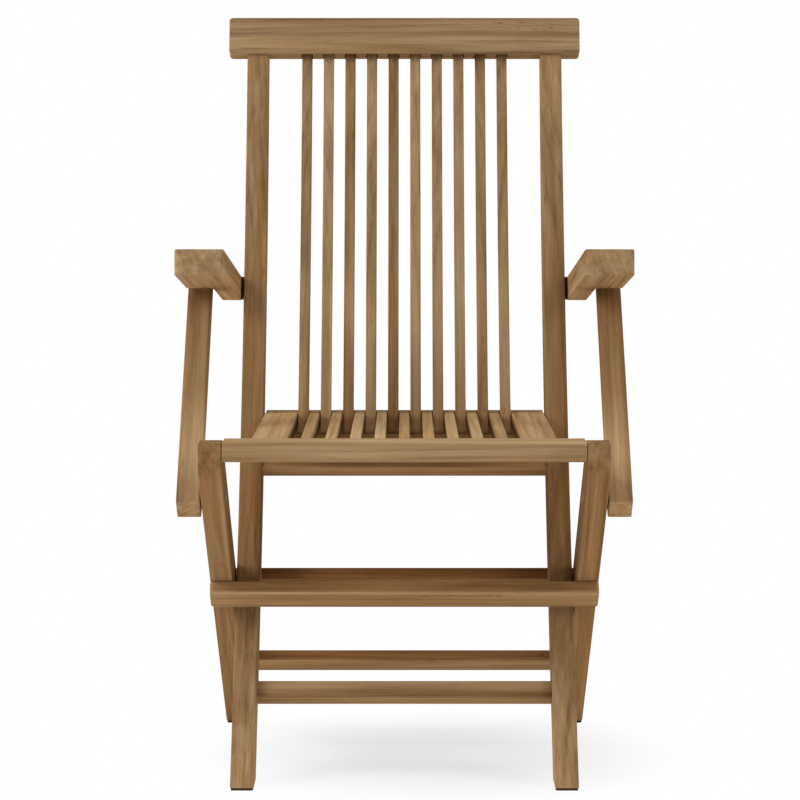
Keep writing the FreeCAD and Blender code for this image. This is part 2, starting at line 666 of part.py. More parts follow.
def slat_mortises(body, foot, lean, towards, middle_depth, half, depth):
    """Mortises for the ends of the back slats, up or down from a point of the stile."""
    middle = moved(foot, lean, towards * (S["slat_tenon"] + S["tenon_gap"]) / 2, middle_depth)
    first = first_slat_x("slat_count")
    cut = block(body, "Subtractive", "slat_mortise", middle, first - half, first + half,
                depth, "slat_tenon + tenon_gap", -math.degrees(lean))
    row_of(body, cut, "slat_count")


# Pockets in its underside, open ahead of the slats, which rest on the rear walls
POCKET_FRONT = S["pocket_lip"] - S["crest_proud"]
slat_mortises(crest, CREST_FOOT, TOP_LEAN, 1, (POCKET_FRONT + SLAT_REAR) / 2,
              S["back_slat_width"] / 2 + S["pocket_gap"],
              "back_slat_inset + back_slat_depth + crest_proud - pocket_lip")

# Lower rail between the stiles, under the seat, which holds the feet of the back slats
low_rail = new_body("lower_back_rail")
low_sketch = new_sketch(low_rail, "section", 0)
leaning_block(low_sketch, LOW_TOP, LOW_LEAN, S["low_rail_height"], S["low_rail_depth"])
pad(low_rail, low_sketch, "stile_span - 2 * stile_width")
ease(low_rail, "edge_round", runs_across)
TENON_REACH = STILE_IN + S["tenon_length"] - S["tenon_gap"]
block(low_rail, "Additive", "tenons", LOW_MIDDLE, -TENON_REACH, TENON_REACH, "rail_tenon",
      "low_rail_height - 2 * tenon_thickness", -math.degrees(LOW_LEAN))
SLAT_FOOT_HALF = S["back_slat_width"] / 2 - S["shoulder"]
slat_mortises(low_rail, stile_point(LOW_LEVEL, 0), LOW_LEAN, -1, SLAT_MIDDLE, SLAT_FOOT_HALF,
              "tenon_thickness")
for side in (-1, 1):
    peg_hole(low_rail, "peg", LOW_PEG, side * STILE_PEG_X)

# Back slats, curved like the stiles, from the crest rail's pockets through the gaps of the seat
SLAT_TOP = S["stile_height"] + S["slat_tenon"] * math.cos(TOP_LEAN)
for number in range(int(S["slat_count"])):
    slat = new_body("back_slat_%d" % (number + 1))
    slat_x = first_slat_x("slat_count") + number * S["slat_pitch"]
    slat_sketch = new_sketch(slat, "side", slat_x)
    low_front = stile_point(LOW_LEVEL, S["back_slat_inset"])
    low_rear = stile_point(LOW_LEVEL, SLAT_REAR)
    top_front = stile_point(SLAT_TOP, S["back_slat_inset"])
    top_rear = stile_point(SLAT_TOP, SLAT_REAR)
    close_path(slat_sketch, [
        add_arc(slat_sketch, (ARC_Y, ARC_Z), low_front, top_front,
                "stile_radius + back_slat_inset"),
        add_line(slat_sketch, top_front, top_rear),
        add_arc(slat_sketch, (ARC_Y, ARC_Z), top_rear, low_rear,
                "stile_radius + back_slat_inset + back_slat_depth"),
        add_line(slat_sketch, low_rear, low_front)])
    pad(slat, slat_sketch, "back_slat_width")
    ease(slat, "fine_round", long_side_edge(S["back_slat_depth"] * 2))
    foot = moved(stile_point(LOW_LEVEL, 0), LOW_LEAN, -S["slat_tenon"] / 2, SLAT_MIDDLE)
    block(slat, "Additive", "foot", foot, slat_x - SLAT_FOOT_HALF, slat_x + SLAT_FOOT_HALF,
          "tenon_thickness", "slat_tenon", -math.degrees(LOW_LEAN))

# Front stretcher between the front feet
stretcher = new_body("front_stretcher")
stretcher_sketch = new_sketch(stretcher, "section", 0)
leaning_block(stretcher_sketch, STRETCH_TOP, LEAN, BAR, BAR)
pad(stretcher, stretcher_sketch, "stile_span - 2 * stile_width")
ease(stretcher, "edge_round", runs_across)
block(stretcher, "Additive", "tenons", STRETCH_MIDDLE, -TENON_REACH, TENON_REACH,
      "rail_tenon", "rail_tenon", -math.degrees(LEAN))
for side in (-1, 1):
    peg_hole(stretcher, "peg", STRETCH_PEG, side * STILE_PEG_X)


# Crossbar joints: two screws in each, off the middle, under wooden plugs
def bar_joint(rise, depth):
    """Mouths of the two screw holes of a crossbar on the right leg, at a depth."""
    spread = S["screw_spread"]
    middle = rise + S["bar_width"] / 2
    leg_middle = (LEG_IN + LEG_OUTER) / 2
    return [(leg_point(middle + spread, depth), leg_middle - spread),
            (leg_point(middle - spread, depth), leg_middle + spread)]


SCREW_LENGTH = "leg_depth + bar_thickness - plug_height - screw_cover"
DRILL_LENGTH = "leg_depth + bar_thickness - screw_cover"
INTO_LEG = math.degrees(math.atan2(-LEG_OUT[1], -LEG_OUT[0]))
FRONT_HOLES = bar_joint(S["front_bar_rise"], S["leg_depth"])
REAR_HOLES = bar_joint(REAR_BAR_RISE, S["leg_depth"] + S["bar_thickness"])


def screw_holes(body, name, mouths, side):
    """Screw holes with the wider mouths that the plugs fill, as far as they meet the body."""
    for number, (point, x) in enumerate(mouths, start=1):
        label = "%s_%d" % (name, number)
        slanted_bore(body, label, point, side * x, INTO_LEG, "screw_diameter / 2", DRILL_LENGTH)


def plug_holes(body, name, mouths, side):
    for number, (point, x) in enumerate(mouths, start=1):
        label = "%s_plug_%d" % (name, number)
        slanted_bore(body, label, point, side * x, INTO_LEG, "plug_diameter / 2", "plug_height")


# Legs: straight boards with an upright front end that frames the seat
def leg(side):
    body = new_body("leg_right" if side > 0 else "leg_left")
    sketch = new_sketch(body, "side", side * (LEG_IN + LEG_OUTER) / 2)
    knee = leg_point((S["leg_heel"] - SEAT_FRONT) / -LEG_UP[0], 0)
    tip_back = leg_point(leg_rise_at(S["seat_height"], S["leg_depth"]), S["leg_depth"])
    outline(sketch, [REAR_TOE, (REAR_TOE[0] + REAR_FOOT_LENGTH, REAR_TOE[1]), tip_back,
                     (SEAT_FRONT, S["seat_height"]), knee],
            {2: "leg_tip_round", 3: "leg_tip_round", 4: "knee_round"})
    pad(body, sketch, "leg_width")
    ease(body, "foot_chamfer", at_foot, "Chamfer")
    ease(body, "edge_round", lambda edge: in_side_face(edge)
         and edge.BoundBox.ZMax > S["glide_height"] + S["foot_chamfer"] + SAME)
    pin_bore(body, "scissor_bore", SCISSOR, side, LEG_IN, LEG_OUTER, True)
    head_seat(body, "scissor_head", SCISSOR, side, LEG_OUTER, True)
    pin_bore(body, "seat_bore", SEAT_PIVOT, side, LEG_IN, LEG_OUTER, True)
    head_seat(body, "seat_head", SEAT_PIVOT, side, LEG_OUTER, True)
    pin_bore(body, "post_bore", POST_LOW, side, LEG_IN, LEG_OUTER, False)
    nut_seat(body, "post_nut", POST_LOW, side, LEG_IN)
    block(body, "Subtractive", "stretcher_mortise", REAR_MIDDLE, side * LEG_IN,
          side * (LEG_IN + S["tenon_length"]), "tenon_thickness", REAR_TENON,
          -90 + math.degrees(LEG_ANGLE))
    peg_hole(body, "stretcher_peg", REAR_PEG, side * LEG_PEG_X)
    screw_holes(body, "front_screw", FRONT_HOLES, side)
    plug_holes(body, "front", FRONT_HOLES, side)
    screw_holes(body, "rear_screw", REAR_HOLES, side)


LEG_ANGLE = math.atan2(LEG_UP[1], LEG_UP[0])
REAR_TENON = "rear_stretcher_width - 2 * shoulder"
leg(-1)
leg(1)


# Crossbars screwed to the legs, one in front below and one behind above
def crossbar(name, rise, depth, mouths, plugged):
    body = new_body(name)
    sketch = new_sketch(body, "section", 0)
    low, high = rise, rise + S["bar_width"]
    outline(sketch, [leg_point(low, depth), leg_point(low, depth + S["bar_thickness"]),
                     leg_point(high, depth + S["bar_thickness"]), leg_point(high, depth)])
    pad(body, sketch, "stile_span + 2 * (side_gap + leg_width + bar_overhang)")
    ease(body, "corner_round", lambda edge: in_side_face(edge)
         and abs(edge.Length - S["bar_thickness"]) < SAME)
    ease(body, "edge_round", runs_across)
    for side in (-1, 1):
        screw_holes(body, "screw", mouths, side)
        if plugged:
            plug_holes(body, "bar", mouths, side)


crossbar("front_crossbar", S["front_bar_rise"], -S["bar_thickness"], FRONT_HOLES, False)
crossbar("rear_crossbar", REAR_BAR_RISE, S["leg_depth"], REAR_HOLES, True)

# Rear stretcher between the legs near the rear feet
rear_stretcher = new_body("rear_stretcher")
rear_sketch = new_sketch(rear_stretcher, "section", 0)
half_width, half_depth = S["rear_stretcher_width"] / 2, S["rear_stretcher_thickness"] / 2
outline(rear_sketch, [leg_point(REAR_RISE - half_width, LEG_MIDDLE - half_depth),
                      leg_point(REAR_RISE - half_width, LEG_MIDDLE + half_depth),
                      leg_point(REAR_RISE + half_width, LEG_MIDDLE + half_depth),
                      leg_point(REAR_RISE + half_width, LEG_MIDDLE - half_depth)])
pad(rear_stretcher, rear_sketch, "stile_span + 2 * side_gap")
ease(rear_stretcher, "edge_round", runs_across)
LEG_TENON_REACH = LEG_IN + S["tenon_length"] - S["tenon_gap"]
block(rear_stretcher, "Additive", "tenons", REAR_MIDDLE, -LEG_TENON_REACH, LEG_TENON_REACH,
      "tenon_thickness", REAR_TENON, -90 + math.degrees(LEG_ANGLE))
for side in (-1, 1):
    peg_hole(rear_stretcher, "peg", REAR_PEG, side * LEG_PEG_X)

# Seat: a front rail and a rear rail joined by slats and two side boards
SLAT_LEVEL = S["seat_height"] - S["seat_slat_thickness"] / 2
BOARD_LEVEL = S["seat_height"] - S["side_board_thickness"] / 2
SEAT_SLATS = "slat_count - 1"
BOARD_SHOULDER = BOARD_IN + S["shoulder"], BOARD_OUT - S["shoulder"]


def seat_mortises(body, face_y, towards):
    """Mortises for slats and side boards in the face of a rail that looks at them."""
    depth = S["slat_tenon"] + S["tenon_gap"]
    half = S["seat_slat_width"] / 2 - S["shoulder"]
    first = -(value(SEAT_SLATS) - 1) * S["slat_pitch"] / 2
    middle_y = face_y + towards * depth / 2
    for side in (-1, 1):
        block(body, "Subtractive", "board_mortise", (middle_y, BOARD_LEVEL),
              side * BOARD_SHOULDER[0], side * BOARD_SHOULDER[1],
              "slat_tenon + tenon_gap", "tenon_thickness")
    cut = block(body, "Subtractive", "slat_mortise", (middle_y, SLAT_LEVEL), first - half,
                first + half, "slat_tenon + tenon_gap", "tenon_thickness")
    row_of(body, cut, "(%s)" % SEAT_SLATS)


front_rail = new_body("seat_front_rail")
front_sketch = new_sketch(front_rail, "section", 0)
rectangle(front_sketch, "-seat_front", "seat_height - front_rail_height", "front_rail_depth",
          "front_rail_height")
pad(front_rail, front_sketch, "stile_span + 2 * side_gap - 2 * front_rail_gap")
ease(front_rail, "edge_round", runs_across)
BOLT_END = SEAT_IN - S["seat_bolt_grip"]
NUT_X = BOLT_END + S["nut_diameter"]
for side in (-1, 1):
    bore(front_rail, "bolt_bore", SEAT_PIVOT, side * SEAT_IN, side * BOLT_END,
         "pin_diameter / 2")
    nut_place = FreeCAD.Placement(FreeCAD.Vector(side * NUT_X, SEAT_PIVOT[0],
                                                 S["seat_height"] - S["front_rail_height"]),
                                  FreeCAD.Rotation())
    primitive(front_rail, "SubtractiveCylinder", "nut_bore", nut_place, "XY_Plane",
              Radius="nut_diameter / 2", Height="nut_height")
seat_mortises(front_rail, RAIL_BACK, -1)

rear_rail = new_body("seat_rear_rail")
rear_rail_sketch = new_sketch(rear_rail, "section", 0)
rectangle(rear_rail_sketch, "front_rail_depth + seat_slat_length - seat_front",
          "seat_height - rear_rail_height", "rear_rail_depth", "rear_rail_height")
pad(rear_rail, rear_rail_sketch, "stile_span - 2 * stile_width - 2 * seat_side_gap")
ease(rear_rail, "edge_round", runs_across)
seat_mortises(rear_rail, REAR_RAIL_FRONT, 1)


def seat_board(name, x_middle, thickness, width, tenon_width):
    """Board along the seat with a tenon at each end."""
    body = new_body(name)
    sketch = new_sketch(body, "side", x_middle)
    rectangle(sketch, "front_rail_depth - seat_front", "seat_height - " + thickness,
              "seat_slat_length", thickness)
    pad(body, sketch, "%.6f" % width)
    ease(body, "fine_round", long_side_edge(S["seat_slat_length"] / 2))
    half = tenon_width / 2
    level = S["seat_height"] - S[thickness] / 2
    block(body, "Additive", "tenons", (RAIL_BACK + S["seat_slat_length"] / 2, level),
          x_middle - half, x_middle + half, "seat_slat_length + 2 * slat_tenon",
          "tenon_thickness")


for side, name in ((-1, "seat_side_board_left"), (1, "seat_side_board_right")):
    seat_board(name, side * (BOARD_IN + BOARD_OUT) / 2, "side_board_thickness",
               BOARD_OUT - BOARD_IN, BOARD_SHOULDER[1] - BOARD_SHOULDER[0])
for number in range(int(value(SEAT_SLATS))):
    seat_x = -(value(SEAT_SLATS) - 1) * S["slat_pitch"] / 2 + number * S["slat_pitch"]
    seat_board("seat_slat_%d" % (number + 1), seat_x, "seat_slat_thickness",
               S["seat_slat_width"], S["seat_slat_width"] - 2 * S["shoulder"])


# Armrests: wide at the hand, narrow beside the post, hinged on the stiles
def armrest(side):
    body = new_body("armrest_right" if side > 0 else "armrest_left")
    place = FreeCAD.Placement(FreeCAD.Vector(0, *ARM_PIVOT),
                              FreeCAD.Rotation(FreeCAD.Vector(1, 0, 0), -S["arm_rise"]))
    sketch = new_sketch(body, "plan", 0, "XY_Plane", place)
    outline(sketch, [(side * ARM_IN, S["arm_tail"]), (side * NECK_OUT, S["arm_tail"]),
                     (side * NECK_OUT, -S["arm_step"]), (side * ARM_OUT, -S["arm_step"]),
                     (side * ARM_OUT, -S["arm_reach"]), (side * ARM_IN, -S["arm_reach"])],
            {2: "step_round", 3: "corner_round", 4: "corner_round", 5: "corner_round"})
    pad(body, sketch, "arm_thickness")
    tail = ARM_PIVOT[0] + S["arm_tail"] / 2
    ease(body, "arm_tail_round", lambda edge: runs_across(edge)
         and edge.BoundBox.YMin > tail)
    ease(body, "edge_round", lambda edge: edge.BoundBox.YMax < tail
         and (edge.BoundBox.XLength > SAME or edge.BoundBox.YLength > S["arm_tail"]))
    pin_bore(body, "pivot_bore", ARM_PIVOT, side, ARM_IN, NECK_OUT, True)
    head_seat(body, "pivot_head", ARM_PIVOT, side, NECK_OUT, True)


armrest(-1)
armrest(1)


# Posts that carry the armrests on the legs
def arm_post(side):
    body = new_body("arm_post_right" if side > 0 else "arm_post_left")
    sketch = new_sketch(body, "side", side * (POST_IN + POST_OUT) / 2)
    lean = math.atan2(POST_TOP[0] - POST_LOW[0], POST_TOP[1] - POST_LOW[1])
    half = S["post_depth"] / 2
    outline(sketch, [moved(POST_TOP, lean, half, -half), moved(POST_TOP, lean, half, half),
                     moved(POST_LOW, lean, -S["post_tail"], half),
                     moved(POST_LOW, lean, -S["post_tail"], -half)],
            {0: "post_top_round", 1: "post_top_round"})
    pad(body, sketch, "post_width")
    ease(body, "edge_round", in_side_face)
    pin_bore(body, "low_bore", POST_LOW, side, POST_IN, POST_OUT, True)
    head_seat(body, "low_head", POST_LOW, side, POST_OUT, True)
    pin_bore(body, "top_bore", POST_TOP, side, POST_IN, POST_OUT, False)
    head_seat(body, "top_head", POST_TOP, side, POST_OUT, False)


arm_post(-1)
arm_post(1)

# Fasteners that hold the pivots
SIDES = (-1, 1)
SLACK = S["washer_slack"]
WASHER = S["washer_diameter"] / 2
solids("scissor_bolts", [bolt(SCISSOR, side, LEG_OUTER, STILE_IN) for side in SIDES])
solids("scissor_nuts", [nut(SCISSOR, side, STILE_IN) for side in SIDES])
solids("scissor_washers", [ring(SCISSOR, side * STILE_OUT, side * (LEG_IN - SLACK), WASHER)
                           for side in SIDES])
solids("arm_bolts", [bolt(ARM_PIVOT, side, NECK_OUT, STILE_IN) for side in SIDES])
solids("arm_nuts", [nut(ARM_PIVOT, side, STILE_IN) for side in SIDES])
solids("arm_spacers", [ring(ARM_PIVOT, side * STILE_OUT, side * (ARM_IN - SLACK),
                            S["arm_spacer_diameter"] / 2) for side in SIDES])
solids("post_bolts", [bolt(POST_LOW, side, POST_OUT, LEG_IN) for side in SIDES])
solids("post_nuts", [nut(POST_LOW, side, LEG_IN) for side in SIDES])
solids("post_washers", [ring(POST_LOW, side * LEG_OUTER, side * (POST_IN - SLACK), WASHER)
                        for side in SIDES])
for side, name in ((-1, "left"), (1, "right")):
    washer_end = NECK_OUT + SLACK
    solids("post_top_screw_" + name, [bolt(POST_TOP, side, POST_OUT, washer_end)])
    solids("post_top_washer_" + name, [ring(POST_TOP, side * POST_IN, side * washer_end,
                                            WASHER / 2 + PIN)])
solids("seat_pivot_bolts", [bolt(SEAT_PIVOT, side, LEG_OUTER, BOLT_END) for side in SIDES])
seat_nuts = []
for side in SIDES:
    barrel = Part.makeCylinder(S["nut_diameter"] / 2, S["nut_height"], FreeCAD.Vector(
        side * NUT_X, SEAT_PIVOT[0], S["seat_height"] - S["front_rail_height"]))
    seat_nuts.append(barrel.cut(rod(SEAT_PIVOT, side * SEAT_IN, side * BOLT_END, PIN)))
solids("seat_pivot_nuts", seat_nuts)


def glide(toe_y, length, x_in, x_out):
    """Glide glued under a foot, with rounded upright corners."""
    inset = S["glide_inset"]
    plate = Part.makeBox(x_out - x_in - 2 * inset, length - 2 * inset, S["glide_height"],
                         FreeCAD.Vector(x_in + inset, toe_y + inset, 0))
    upright = [edge for edge in plate.Edges if edge.BoundBox.ZLength > SAME]
    return plate.makeFillet(S["glide_round"], upright)


# Glides under the feet
FRONT_TOE = stile_point(S["glide_height"], 0)[0]
solids("front_foot_glides", [glide(FRONT_TOE, FOOT_LENGTH, *sorted((side * STILE_IN,
                                                                   side * STILE_OUT)))
                             for side in SIDES])
solids("rear_foot_glides", [glide(REAR_TOE[0], REAR_FOOT_LENGTH, *sorted((side * LEG_IN,
                                                                         side * LEG_OUTER)))
                            for side in SIDES])

# Pegs of the frames, and screws and plugs of the crossbars
back_pegs = []
for side in SIDES:
    back_pegs.append(peg_rod(LOW_PEG, side * STILE_PEG_X))
    back_pegs.append(peg_rod(STRETCH_PEG, side * STILE_PEG_X))
    back_pegs.append(peg_rod(CREST_PEG, side * CREST_PEG_X))
solids("frame_pegs", back_pegs)
solids("stretcher_pegs", [peg_rod(REAR_PEG, side * LEG_PEG_X) for side in SIDES])
screws, plugs = [], []
inward = FreeCAD.Vector(0, -LEG_OUT[0], -LEG_OUT[1])
for side in SIDES:
    for point, x in FRONT_HOLES + REAR_HOLES:
        start = FreeCAD.Vector(side * x, *point)
        plugs.append(Part.makeCylinder(S["plug_diameter"] / 2, S["plug_height"], start, inward))
        screws.append(Part.makeCylinder(S["screw_diameter"] / 2, value(SCREW_LENGTH),
                                        start + inward * S["plug_height"], inward))
solids("crossbar_screws", screws)
solids("crossbar_plugs", plugs)

# Every feature is checked before a file is written
doc.recompute()
for item in doc.Objects:
    if any(word in state for state in item.State for word in ("Invalid", "Error")):
        raise RuntimeError("%s has a fault: %s" % (item.Label, item.State))
for piece in pieces:
    if piece.Shape.isNull() or not piece.Shape.isValid():
        raise RuntimeError("%s has no valid shape" % piece.Label)
os.makedirs("parts", exist_ok=True)
for piece in pieces:
    piece.Shape.exportStep("parts/%s.step" % piece.Label)
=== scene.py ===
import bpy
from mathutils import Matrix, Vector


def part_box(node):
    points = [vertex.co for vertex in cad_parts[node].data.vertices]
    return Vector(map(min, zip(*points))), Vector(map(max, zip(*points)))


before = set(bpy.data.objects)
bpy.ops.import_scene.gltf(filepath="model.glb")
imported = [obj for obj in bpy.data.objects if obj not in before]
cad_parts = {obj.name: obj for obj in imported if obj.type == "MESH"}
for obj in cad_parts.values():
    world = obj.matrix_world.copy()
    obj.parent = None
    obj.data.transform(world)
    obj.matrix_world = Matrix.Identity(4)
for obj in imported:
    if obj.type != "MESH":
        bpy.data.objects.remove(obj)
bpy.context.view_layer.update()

import math

import bmesh
import bpy
from mathutils import Euler, Vector

# Camera: 3.4 m in front of the chair and 0.78 m above the ground, tipped down a little, with a
# long lens that makes the legs converge only slightly. The chair stands a few pixels right of
# the picture's middle.
LENS, SENSOR = 131.5, 36.0
CAMERA_AT = (0.0, -3.7528, 0.7795)
CAMERA_PITCH = math.radians(90 - 4.79)
PICTURE_WIDTH, CHAIR_RIGHT_OF_MIDDLE = 800, 4.45
camera_data = bpy.data.cameras.new("camera")
camera_data.lens = LENS
camera_data.sensor_width = SENSOR
camera_data.shift_x = -CHAIR_RIGHT_OF_MIDDLE / PICTURE_WIDTH
camera = bpy.data.objects.new("camera", camera_data)
camera.location = CAMERA_AT
camera.rotation_euler = (CAMERA_PITCH, 0, 0)
bpy.context.scene.collection.objects.link(camera)
bpy.context.scene.camera = camera
bpy.context.scene.view_settings.view_transform = "Standard"


# Lamps: a strong soft one high on the left, a weaker one on the right and one overhead behind,
# as in a small product studio. Sizes and places are in metres, powers in watts.
def add_lamp(name, place, target, size, power):
    lamp_data = bpy.data.lights.new(name, "AREA")
    lamp_data.shape = "RECTANGLE"
    lamp_data.size, lamp_data.size_y = size
    lamp_data.energy = power
    lamp = bpy.data.objects.new(name, lamp_data)
    lamp.location = place
    aim = Vector(target) - Vector(place)
    lamp.rotation_euler = aim.to_track_quat("-Z", "Y").to_euler()
    bpy.context.scene.collection.objects.link(lamp)


add_lamp("left lamp", place=(-2.6, -0.8, 2.2), target=(0, 0, 0.4), size=(1.5, 1.5), power=58)
add_lamp("right lamp", place=(2.6, -0.8, 2.0), target=(0, 0, 0.4), size=(1.5, 1.5), power=29)
add_lamp("overhead lamp", place=(-0.5, 0.9, 3.0), target=(0, 0.2, 0.3), size=(2.2, 1.8),
         power=18)


# White room: the camera and the reflections see plain white walls, while the light that the
# walls give the chair is softer.
def add_node(nodes, kind, inputs=None, **settings):
    """Adds a shader node with its settings and the values of its inputs."""
    node = nodes.new(kind)
    for name, value in settings.items():
        setattr(node, name, value)
    for name, value in (inputs or {}).items():
        node.inputs[name].default_value = value
    return node


WHITE = (1, 1, 1, 1)
ROOM_LIGHT = 0.42
world = bpy.data.worlds.new("studio")
bpy.context.scene.world = world
world.use_nodes = True
world_nodes, world_links = world.node_tree.nodes, world.node_tree.links
world_nodes.clear()
ray = world_nodes.new("ShaderNodeLightPath")
camera_or_glossy = add_node(world_nodes, "ShaderNodeMath", operation="MAXIMUM")
sees_white = add_node(world_nodes, "ShaderNodeMath", operation="MAXIMUM")
soft = add_node(world_nodes, "ShaderNodeBackground", {"Color": WHITE, "Strength": ROOM_LIGHT})
plain = add_node(world_nodes, "ShaderNodeBackground", {"Color": WHITE})
walls = world_nodes.new("ShaderNodeMixShader")
world_out = world_nodes.new("ShaderNodeOutputWorld")
world_links.new(ray.outputs["Is Camera Ray"], camera_or_glossy.inputs[0])
world_links.new(ray.outputs["Is Glossy Ray"], camera_or_glossy.inputs[1])
world_links.new(camera_or_glossy.outputs[0], sees_white.inputs[0])
world_links.new(ray.outputs["Is Transmission Ray"], sees_white.inputs[1])
world_links.new(sees_white.outputs[0], walls.inputs["Fac"])
world_links.new(soft.outputs[0], walls.inputs[1])
world_links.new(plain.outputs[0], walls.inputs[2])
world_links.new(walls.outputs[0], world_out.inputs["Surface"])

# Paper sweep: the white floor that the chair stands on. The camera sees its shadow under the
# chair fade out to plain white. The paper bounces light up to the undersides of the wood, and it
# also glows upward like a lamp, a painted light on them.
SWEEP_HALF_WIDTH = 12.0
SHADOW_MIDDLE, SHADOW_FULL_TO, SHADOW_GONE_AT = (0.04, 0.02), 0.08, 0.36
SHADED_PAPER, NEAR_GLOW = (0.294, 0.30, 0.306, 1), 0.63
BOUNCING_PAPER, UPWARD_GLOW = (0.86, 0.86, 0.86, 1), 0.36
floor_mesh = bpy.data.meshes.new("studio floor")
floor_shape = bmesh.new()
bmesh.ops.create_grid(floor_shape, x_segments=1, y_segments=1, size=SWEEP_HALF_WIDTH)
floor_shape.to_mesh(floor_mesh)
floor_shape.free()
floor = bpy.data.objects.new("studio_floor", floor_mesh)
bpy.context.scene.collection.objects.link(floor)

paper = bpy.data.materials.new("white paper sweep")
paper.use_nodes = True
paper_nodes, paper_links = paper.node_tree.nodes, paper.node_tree.links
paper_nodes.clear()
floor_place = paper_nodes.new("ShaderNodeTexCoord")
from_middle = add_node(paper_nodes, "ShaderNodeMapping",
                       {"Location": (-SHADOW_MIDDLE[0], -SHADOW_MIDDLE[1], 0.0)})
away = add_node(paper_nodes, "ShaderNodeVectorMath", operation="LENGTH")
fade = add_node(paper_nodes, "ShaderNodeMapRange",
                {"From Min": SHADOW_FULL_TO, "From Max": SHADOW_GONE_AT},
                interpolation_type="SMOOTHSTEP")
paper_links.new(floor_place.outputs["Object"], from_middle.inputs["Vector"])
paper_links.new(from_middle.outputs["Vector"], away.inputs[0])
paper_links.new(away.outputs["Value"], fade.inputs["Value"])

shaded = add_node(paper_nodes, "ShaderNodeBsdfDiffuse", {"Color": SHADED_PAPER})
near_glow = add_node(paper_nodes, "ShaderNodeEmission", {"Strength": NEAR_GLOW})
near = paper_nodes.new("ShaderNodeAddShader")
far = add_node(paper_nodes, "ShaderNodeEmission", {"Strength": 1.0})
seen_paper = paper_nodes.new("ShaderNodeMixShader")
paper_links.new(shaded.outputs[0], near.inputs[0])
paper_links.new(near_glow.outputs[0], near.inputs[1])
paper_links.new(fade.outputs["Result"], seen_paper.inputs["Fac"])
paper_links.new(near.outputs[0], seen_paper.inputs[1])
paper_links.new(far.outputs[0], seen_paper.inputs[2])

bounce = add_node(paper_nodes, "ShaderNodeBsdfDiffuse", {"Color": BOUNCING_PAPER})
upward = add_node(paper_nodes, "ShaderNodeEmission", {"Strength": UPWARD_GLOW})
lighting_paper = paper_nodes.new("ShaderNodeAddShader")
paper_ray = paper_nodes.new("ShaderNodeLightPath")
seen_or_lighting = paper_nodes.new("ShaderNodeMixShader")
paper_out = paper_nodes.new("ShaderNodeOutputMaterial")
paper_links.new(bounce.outputs[0], lighting_paper.inputs[0])
paper_links.new(upward.outputs[0], lighting_paper.inputs[1])
paper_links.new(paper_ray.outputs["Is Camera Ray"], seen_or_lighting.inputs["Fac"])
paper_links.new(lighting_paper.outputs[0], seen_or_lighting.inputs[1])
paper_links.new(seen_paper.outputs[0], seen_or_lighting.inputs[2])
paper_links.new(seen_or_lighting.outputs[0], paper_out.inputs["Surface"])
floor_mesh.materials.append(paper)

# Stiles: two teak boards sawn to a curve from straight planks, so the grain runs straight while
# the board bends. Teak has fine pores, dark mineral lines and uneven growth rings, and these
# boards have weathered outdoors to a matt, brown surface, each in its own tone.
LIGHT_TEAK, DARK_TEAK = (0.420, 0.268, 0.136), (0.190, 0.102, 0.040)
RED_HEARTWOOD, MINERAL_LINE = (1.00, 0.91, 0.81, 1), (0.58, 0.48, 0.38, 1)
DARK_FLECK, OPEN_PORE = (0.42, 0.30, 0.22, 1), (0.55, 0.48, 0.40, 1)
RINGS_PER_METRE, RING_SWAY, RING_RIPPLE = 120.0, 0.040, 0.006
SMOOTH_WOOD, ROUGHER_FIBRES = 0.66, 0.14
GRAIN_RELIEF, RELIEF_STRENGTH = 0.0006, 0.35
BESIDE_PITH, BESIDE_VARIES, ABOVE_PITH, APART_ALONG_LOG = 0.055, 0.030, 0.050, 1.713
# The bands of growth and of painted light and shade wander up and down by so many metres
DRIFTS_PER_METRE, BAND_WANDER = 7.0, 0.0025
# Sockets of a Mix node that mixes colours, because several of them share a name
AMOUNT, UNDER, OVER, MIXED = 0, 6, 7, 2


def colour_ramp(nodes, links, source, stops):
    """Turns a value into a colour, by stops of (position, colour)."""
    shade = nodes.new("ShaderNodeValToRGB")
    elements = shade.color_ramp.elements
    while len(elements) < len(stops):
        elements.new(0.5)
    for element, (position, colour) in zip(elements, stops):
        element.position = position
        element.color = colour
    links.new(source, shade.inputs["Fac"])
    return shade.outputs["Color"]


